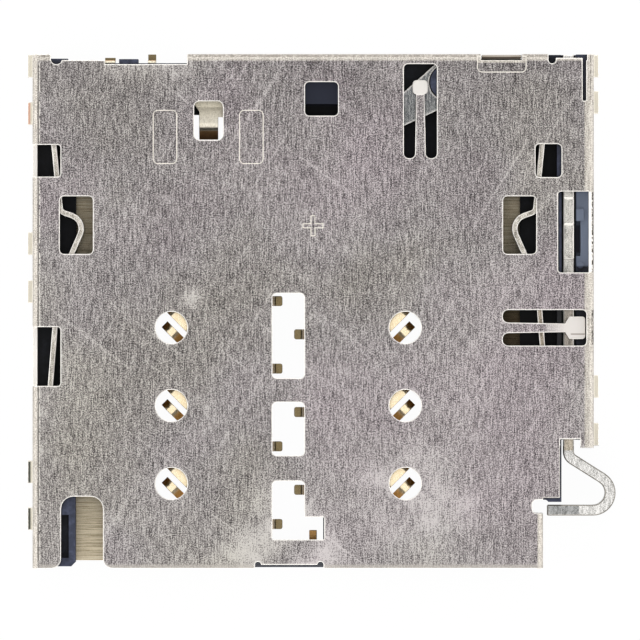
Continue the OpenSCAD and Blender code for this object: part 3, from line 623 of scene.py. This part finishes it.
# %% Cover tone
TINT_SCALE = 190.0
tone = shade
for shift in (cloud, smudge, towards_mouth, sheen, scratches):
    tone = math_node(tree, "ADD", tone, shift)
steel = ramp_node(
    tree, tone,
    [(0.15, linear(58, 55, 56)), (0.5, linear(138, 133, 133)), (0.85, linear(200, 196, 194))],
)
tint = ramp_node(
    tree, noise_node(tree, where, TINT_SCALE),
    [(0.3, linear(255, 255, 246)), (0.5, linear(253, 252, 251)), (0.7, linear(255, 249, 253))],
)
steel = mix_colours(tree, 1.0, steel, tint, "MULTIPLY")
print("cover material:", cover_steel.name)

# %% [markdown]
# Along the folds the rollers' lines are stretched flat, and the bends catch the light from the
# sides. The folds are painted a paler satin as a painted highlight, grained on the bends and plain
# on the upright walls. The mask for it is all that lies outside the flat top, with the rear fold
# and the short fold beside the loop added by height.

# %% Cover folds
FLAT_TOP = ((0.43, -0.24), (8.88, 8.38), 0.06)
SHORT_FOLD = ((7.9, -7.48), (0.115, 0.9), 0.03)
REAR_FROM = 8.1 * MM
TOP_SKIN = 0.003 * MM
FOLD_DROP = 0.15 * MM
FOLD_HIGHLIGHT = linear(194, 188, 179)
height = axis_of(tree, where, "Z")
low = math_node(tree, "LESS_THAN", height, cover_top - TOP_SKIN)
upper = math_node(tree, "GREATER_THAN", height, cover_top - FOLD_DROP)
rear = math_node(tree, "GREATER_THAN", axis_of(tree, where, "Y"), REAR_FROM)
folded = outside(tree, inside_box(tree, where, *FLAT_TOP))
for fold in (rear, inside_box(tree, where, *SHORT_FOLD)):
    folded = math_node(tree, "MAXIMUM", folded, math_node(tree, "MULTIPLY", low, fold))
# Painted highlight on the folds: grained on the bends, plain on the walls.
grained_fold_highlight = ramp_node(
    tree, shade, [(0.2, linear(152, 145, 137)), (0.5, FOLD_HIGHLIGHT), (0.8, linear(222, 217, 209))]
)
steel = mix_colours(tree, folded, steel, mix_colours(tree, upper, FOLD_HIGHLIGHT, grained_fold_highlight))
print("fold drop:", FOLD_DROP)

# %% [markdown]
# The painted highlight of the folds is whitest beside the openings in the walls. A dark and a
# bright line, painted shade and painted highlight, show where the left fold begins, and dark lines
# of painted shade lie at the rear and beside the rear cut-out. A noise breaks these lines up.

# %% Strips and fold lines
WALL_STRIPS = [
    ((9.52, 2.58), (0.07, 1.3)),
    ((-8.53, -1.48), (0.08, 0.97)),
    ((-8.53, 4.92), (0.08, 0.5)),
]
STRIP_HIGHLIGHT = linear(238, 235, 230)
FOLD_LIGHT_AND_SHADE_LINES = [
    ((-8.455, 0), (0.012, 8.1), linear(92, 88, 82)),
    ((-8.42, 0), (0.01, 8.1), linear(215, 210, 202)),
    ((0.43, 8.312), (8.8, 0.022), linear(140, 133, 125)),
    ((9.53, 7.63), (0.01, 0.73), linear(120, 115, 108)),
]
BREAK_SCALE = 14000.0
BREAK_FROM = 0.35
BREAK_GAIN = 5.0
# Painted highlight on the fold arcs beside the openings.
for centre, half in WALL_STRIPS:
    steel = mix_colours(tree, inside_box(tree, where, centre, half), steel, STRIP_HIGHLIGHT)
broken = math_node(tree, "SUBTRACT", noise_node(tree, where, BREAK_SCALE, 1.0), BREAK_FROM)
broken = math_node(tree, "MULTIPLY", broken, BREAK_GAIN, clamp=True)
broken = math_node(tree, "MULTIPLY", broken, upper)
# Painted shade and highlight lines along the folds.
for centre, half, shown in FOLD_LIGHT_AND_SHADE_LINES:
    line = math_node(tree, "MULTIPLY", inside_box(tree, where, centre, half), broken)
    steel = mix_colours(tree, line, steel, shown)
print("fold lines:", len(FOLD_LIGHT_AND_SHADE_LINES))

# %% [markdown]
# The front edge is a little paler than the face, as a painted highlight. The feet were dipped for
# soldering and are pale all over, apart from a few stains at their ends.

# %% Front lip and feet
FRONT_LIP = ((0.43, -8.33), (8.8, 0.04), 0.08)
LIP_SHARE = 0.6
FOOT_TOP = 0.3 * MM
FOOT_SOFT = 0.04
FOOT_STAINS = [
    ((-8.8, -5.27), (0.04, 0.34), linear(88, 90, 82)),
    ((-8.8, -6.79), (0.04, 0.34), linear(88, 90, 82)),
    ((-8.8, 6.46), (0.03, 0.34), linear(218, 178, 158)),
]
# Painted highlight along the front edge.
lip = math_node(tree, "MULTIPLY", inside_box(tree, where, *FRONT_LIP), LIP_SHARE)
steel = mix_colours(tree, lip, steel, linear(186, 180, 172))
feet = math_node(tree, "LESS_THAN", height, FOOT_TOP)
steel = mix_colours(tree, feet, steel, linear(223, 218, 205))
for centre, half, shown in FOOT_STAINS:
    stain = math_node(tree, "MULTIPLY", inside_box(tree, where, centre, half, FOOT_SOFT), feet)
    steel = mix_colours(tree, stain, steel, shown)
print("foot stains:", len(FOOT_STAINS))

# %% [markdown]
# Rims and the heads of both tongues get a painted highlight. The rim mask paints every punched
# edge but those of the pads that were pressed only half through. The flat heads face up into the
# light; one has a painted shade line at the bend of its lip. Dark broken lines of painted shade
# lie on the walls beside the openings.

# %% Cover rims, worn heads and burrs
RIM_REACH = 0.07 * MM
HIGHLIT_HEADS = [
    ((3.99, 7.31), (0.26, 0.25), 0.02, linear(232, 228, 222)),
    ((9.06, -0.51), (0.35, 0.38), 0.9, linear(206, 201, 196)),
]
HEAD_LIP_SHADE = ((9.12, -0.741), (0.22, 0.012))
WALL_SHADE_LINES = [
    ((9.6, 2.58), (0.025, 1.3)),
    ((9.6, -0.51), (0.03, 0.56)),
    ((-8.61, -1.48), (0.025, 0.97)),
    ((-8.61, 4.92), (0.025, 0.5)),
]
# Painted highlight along the punched edges, leaving out the pressed pads.
edge = place_group(tree, rim_mask, Radius=RIM_REACH, Gain=RIM_GAIN)
for centre, half, _ in PRESSED:
    edge = math_node(tree, "MULTIPLY", edge, outside(tree, inside_box(tree, where, centre, half)))
steel = mix_colours(tree, edge, steel, RIM_HIGHLIGHT)
bright = edge
# Painted highlights on the flat tongue heads.
for centre, half, soft, shown in HIGHLIT_HEADS:
    highlit = math_node(tree, "MULTIPLY", inside_box(tree, where, centre, half, soft), low)
    highlit = math_node(tree, "MULTIPLY", highlit, outside(tree, folded))
    steel = mix_colours(tree, highlit, steel, shown)
    bright = math_node(tree, "MAXIMUM", bright, highlit)
# Painted shade line at the bend of the second head's lip.
steel = mix_colours(tree, inside_box(tree, where, *HEAD_LIP_SHADE), steel, linear(146, 137, 129))
# Painted shade: dark broken lines on the walls beside the openings.
for centre, half in WALL_SHADE_LINES:
    wall_shade = math_node(tree, "MULTIPLY", inside_box(tree, where, centre, half), broken)
    steel = mix_colours(tree, wall_shade, steel, linear(84, 79, 74))
print("worn heads:", len(HIGHLIT_HEADS), "wall_shade_lines:", len(WALL_SHADE_LINES))

# %% [markdown]
# The painted highlights are less metallic, so that they scatter light more than the rolled face
# does. The folds are rougher than the face. With these three inputs linked, the cover's material
# is done.

# %% Cover shader inputs
RIM_BARE = 0.8
COVER_ROUGH = 0.36
FOLD_ROUGH = 0.15
bare = outside(tree, math_node(tree, "MULTIPLY", bright, RIM_BARE))
rough = math_node(tree, "ADD", math_node(tree, "MULTIPLY", shade, GRAIN_ROUGH), COVER_ROUGH)
rough = math_node(tree, "ADD", rough, math_node(tree, "MULTIPLY", folded, FOLD_ROUGH))
for socket, value in {"Base Color": steel, "Roughness": rough, "Metallic": bare}.items():
    feed(tree, shader.inputs[socket], value)
print("cover nodes:", len(tree.nodes))

# %% [markdown]
# ## Dark moulding
# The housing is a glass-filled polymer, nearly black with a blue cast and a dull sheen. One plain
# Principled shader does it, with a faint mottle so that large faces are not dead flat. The top of
# its open wall beside the rod stands higher in the light and is painted paler, and deep pockets
# and windows get painted shade, darker still. A strip behind the front notch is greyer.

# %% Plastic material
# The first box is painted light, the second, third and fifth painted shade; the fourth is greyer.
PATCHES = [
    ((9.3, 2.9), (0.2, 1.4), linear(96, 104, 120)),
    ((9.12, 2.36), (0.06, 0.42), linear(54, 54, 66)),
    ((8, -0.5), (0.75, 0.6), linear(16, 16, 18)),
    ((-0.29, -8.29), (1.2, 0.15), linear(84, 86, 92)),
    ((0.75, 7.12), (0.5, 0.4), linear(20, 24, 38)),
]
MOULD_SOFT = 0.05
MOTTLE_SCALE = 5000.0
MOTTLE_ROUGH = 0.6
plastic, tree, shader = new_material("plastic")
where = tree.nodes.new("ShaderNodeTexCoord").outputs["Object"]
mottle = noise_node(tree, where, MOTTLE_SCALE, 3.0, MOTTLE_ROUGH)
colour = ramp_node(
    tree, mottle, [(0.3, linear(38, 42, 55)), (0.5, linear(50, 54, 70)), (0.7, linear(66, 71, 90))]
)
colour = place_group(tree, deep_shade, Colour=colour, Lift=1.35, Steep=1.7)
for centre, half, shown in PATCHES:
    colour = mix_colours(tree, inside_box(tree, where, centre, half, MOULD_SOFT), colour, shown)
feed(tree, shader.inputs["Base Color"], colour)
shader.inputs["Roughness"].default_value = 0.6
shader.inputs["Specular IOR Level"].default_value = 0.25
print("moulding:", plastic.name)

# %% [markdown]
# ## Dressing the nodes
# Every CAD node takes the material of its slot in the record, or its own variant of that finish.
# Stamped pieces get rounded rims, widest on the floor plate and the thick rod, finer on the thin
# sheet, and the moulding only a soft edge. The steel pieces that show their edges give those rims
# a pale painted highlight.

# %% Put the finishes on
SLOTS = {
    "cover_steel": cover_steel,
    "plate_steel": plate_steel,
    "plastic": plastic,
    "gold": gold,
    "spring_steel": spring_steel,
}
VARIANTS = {
    "eject_lever": lever_steel,
    "left_latch_spring": latch_steel,
    "right_latch_spring": latch_steel,
    "detect_spring": pale_gold,
}
RIMS = {
    "shell": 0.015 * MM,
    "base_plate": 0.02 * MM,
    "housing": 0.006 * MM,
    "push_rod": 0.035 * MM,
    "eject_lever": 0.012 * MM,
    "left_latch_spring": 0.015 * MM,
    "right_latch_spring": 0.015 * MM,
}
CONTACT_RIM = 0.012 * MM
RIMMED = ["shell", "push_rod", "eject_lever", "left_latch_spring", "right_latch_spring"]
RIM_SLOT = 1

for entry in frame["record"]["subparts"]:
    name = entry["node"]
    materials = nodes[name].data.materials
    materials.clear()
    materials.append(VARIANTS.get(name, SLOTS[entry["material_slot"]]))
    rim_slot = NO_SLOT
    if name in RIMMED:
        materials.append(rim_highlight_steel)
        rim_slot = RIM_SLOT
    round_edges(name, RIMS.get(name, CONTACT_RIM), rim_slot)

# %% [markdown]
# ## Floor and room
# The socket lies on a white sheet. For rays that the camera or a mirror sends, the sheet is mostly
# plain white; a small share is left to real shading, which keeps the shadow. More light on the
# sheet would whiten it as well, but would burn out the steel.

# %% Floor
FLOOR_HALF = 0.6
FLOOR_Z = -0.02 * MM
SHADED_SHARE = 0.03
bpy.ops.mesh.primitive_plane_add(size=2 * FLOOR_HALF, location=(0, 0, FLOOR_Z))
floor = bpy.context.object
floor.name = "floor"


def seen_rays(tree):
    """1 for rays that the camera, a mirror or glass sends."""
    path = tree.nodes.new("ShaderNodeLightPath")
    seen = path.outputs["Is Camera Ray"]
    for sort in ("Is Glossy Ray", "Is Transmission Ray"):
        seen = math_node(tree, "MAXIMUM", seen, path.outputs[sort])
    return seen


floor_white = bpy.data.materials.new("floor_white")
floor_white.use_nodes = True
tree = floor_white.node_tree
tree.nodes.clear()
sheet = tree.nodes.new("ShaderNodeBsdfDiffuse")
sheet.inputs["Color"].default_value = (0.9, 0.9, 0.9, 1)
glow = tree.nodes.new("ShaderNodeEmission")
glow.inputs["Strength"].default_value = 1.0
mix = tree.nodes.new("ShaderNodeMixShader")
out = tree.nodes.new("ShaderNodeOutputMaterial")
tree.links.new(math_node(tree, "MULTIPLY", seen_rays(tree), 1 - SHADED_SHARE), mix.inputs["Fac"])
tree.links.new(sheet.outputs["BSDF"], mix.inputs[1])
tree.links.new(glow.outputs["Emission"], mix.inputs[2])
tree.links.new(mix.outputs["Shader"], out.inputs["Surface"])
floor.data.materials.append(floor_white)
print("floor:", floor.name)

# %% [markdown]
# The room around gives an even, weak light from all sides. To the camera alone it is plain white,
# so that views from low angles end in the same white as the sheet.

# %% World
ROOM_LIGHT = 0.5
world = bpy.data.worlds.new("room")
scene.world = world
world.use_nodes = True
tree = world.node_tree
tree.nodes.clear()
room = tree.nodes.new("ShaderNodeBackground")
room.inputs["Strength"].default_value = ROOM_LIGHT
white = tree.nodes.new("ShaderNodeBackground")
white.inputs["Strength"].default_value = 1.0
mix = tree.nodes.new("ShaderNodeMixShader")
out = tree.nodes.new("ShaderNodeOutputWorld")
camera_ray = tree.nodes.new("ShaderNodeLightPath").outputs["Is Camera Ray"]
tree.links.new(camera_ray, mix.inputs["Fac"])
tree.links.new(room.outputs["Background"], mix.inputs[1])
tree.links.new(white.outputs["Background"], mix.inputs[2])
tree.links.new(mix.outputs["Shader"], out.inputs["Surface"])
print("room light:", ROOM_LIGHT)

# %% [markdown]
# ## Lamps
# Polished sheet shows what stands around it. Two rings of soft lamps light the socket from all
# sides: the low ring makes the folds and rims at its edges shine, while the flat cover shows the
# darker top of the room. A ring is given by its reach, height, lamp size and power.

# %% Lamp rings
TOP_LAMP = ((0.0, 0.0, 0.5), 0.24, 0.3)
RINGS = {"high": (0.36, 0.36, 0.35, 0.27), "low": (0.45, 0.2, 0.3, 1.05)}
SIDES = {"left": (-1, 0), "right": (1, 0), "rear": (0, 1), "front": (0, -1)}


def soft_lamp(name, place, size, power):
    """A square lamp at place, in metres, turned to the socket."""
    data = bpy.data.lights.new(name, "AREA")
    data.shape = "SQUARE"
    data.size = size
    data.energy = power
    lamp = bpy.data.objects.new(name, data)
    scene.collection.objects.link(lamp)
    lamp.location = place
    lamp.rotation_euler = (-Vector(place)).to_track_quat("-Z", "Y").to_euler()


soft_lamp("top", *TOP_LAMP)
for ring, (reach, lamp_height, size, power) in RINGS.items():
    for side, (x, y) in SIDES.items():
        soft_lamp(ring + "_" + side, (reach * x, reach * y, lamp_height), size, power)
print("lamps:", 1 + len(RINGS) * len(SIDES))

# %% [markdown]
# ## Camera
# The camera looks straight down through a long lens, so that the walls hardly show. The lens
# follows from the width of the view at the cover's height.

# %% Camera
VIEW_WIDTH = 20.846 * MM
VIEW_CENTRE = (0.717 * MM, -0.282 * MM)
CAMERA_HEIGHT = 0.4
SENSOR = 36.0
camera = bpy.data.objects.new("camera", bpy.data.cameras.new("camera"))
scene.collection.objects.link(camera)
camera.location = (*VIEW_CENTRE, cover_top + CAMERA_HEIGHT)
camera.data.sensor_width = SENSOR
camera.data.sensor_fit = "HORIZONTAL"
camera.data.lens = SENSOR * CAMERA_HEIGHT / VIEW_WIDTH
camera.data.clip_start = 0.01
camera.data.clip_end = 10.0
scene.camera = camera
print("lens:", round(camera.data.lens, 1), "mm")
